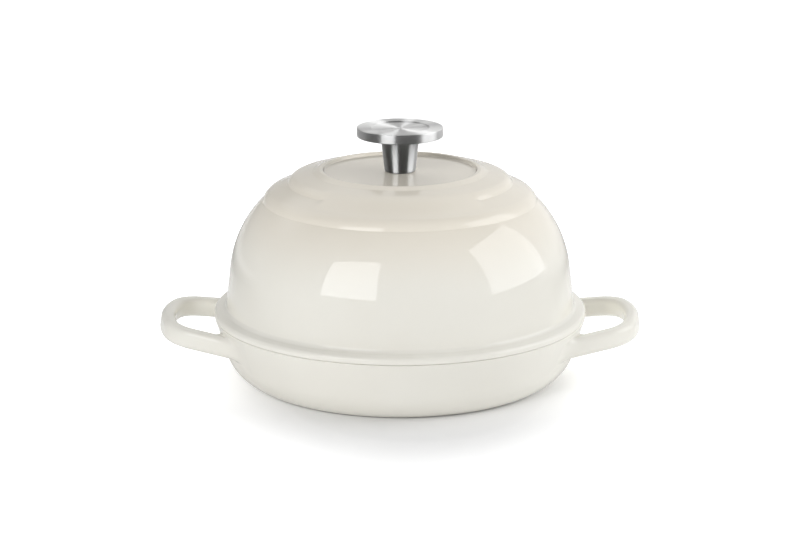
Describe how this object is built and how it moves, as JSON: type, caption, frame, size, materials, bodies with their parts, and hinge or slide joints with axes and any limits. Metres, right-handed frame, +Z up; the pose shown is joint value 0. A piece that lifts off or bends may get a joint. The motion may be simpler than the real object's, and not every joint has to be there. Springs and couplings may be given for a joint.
{
  "type": "bread cloche",
  "caption": "Shallow round cast-iron pan with loop handles under a tall domed lid with a stepped crown and a turned steel knob, for baking bread.",
  "frame": {"origin": "on the table, under the centre of the pan", "axes": "+Z up out of the pan and lid, +X along the two loop handles, -Y the front of the lid, where the second step fades out"},
  "size_m": [0.3212, 0.248, 0.1677],
  "materials": {
    "pan_enamel": "glossy cream enamel outside, matt black enamel inside and on the rim",
    "lid_enamel": "glossy cream enamel outside, matt black enamel inside and on the rim",
    "knob_steel": "turned stainless steel, spin-brushed on top",
    "fastener_steel": "plain zinc-plated steel"
  },
  "bodies": {
    "pan": {"base_pan": "pan_enamel"},
    "lid": {"dome_lid": "lid_enamel", "knob": "knob_steel", "knob_screw": "fastener_steel", "lock_washer": "fastener_steel", "flat_washer": "fastener_steel"}
  },
  "joints": [
    {"name": "lid_lift", "type": "slide", "parent": "pan", "child": "lid", "axis": [0, 0, 1], "range_m": [0, 0.18]}
  ]
}
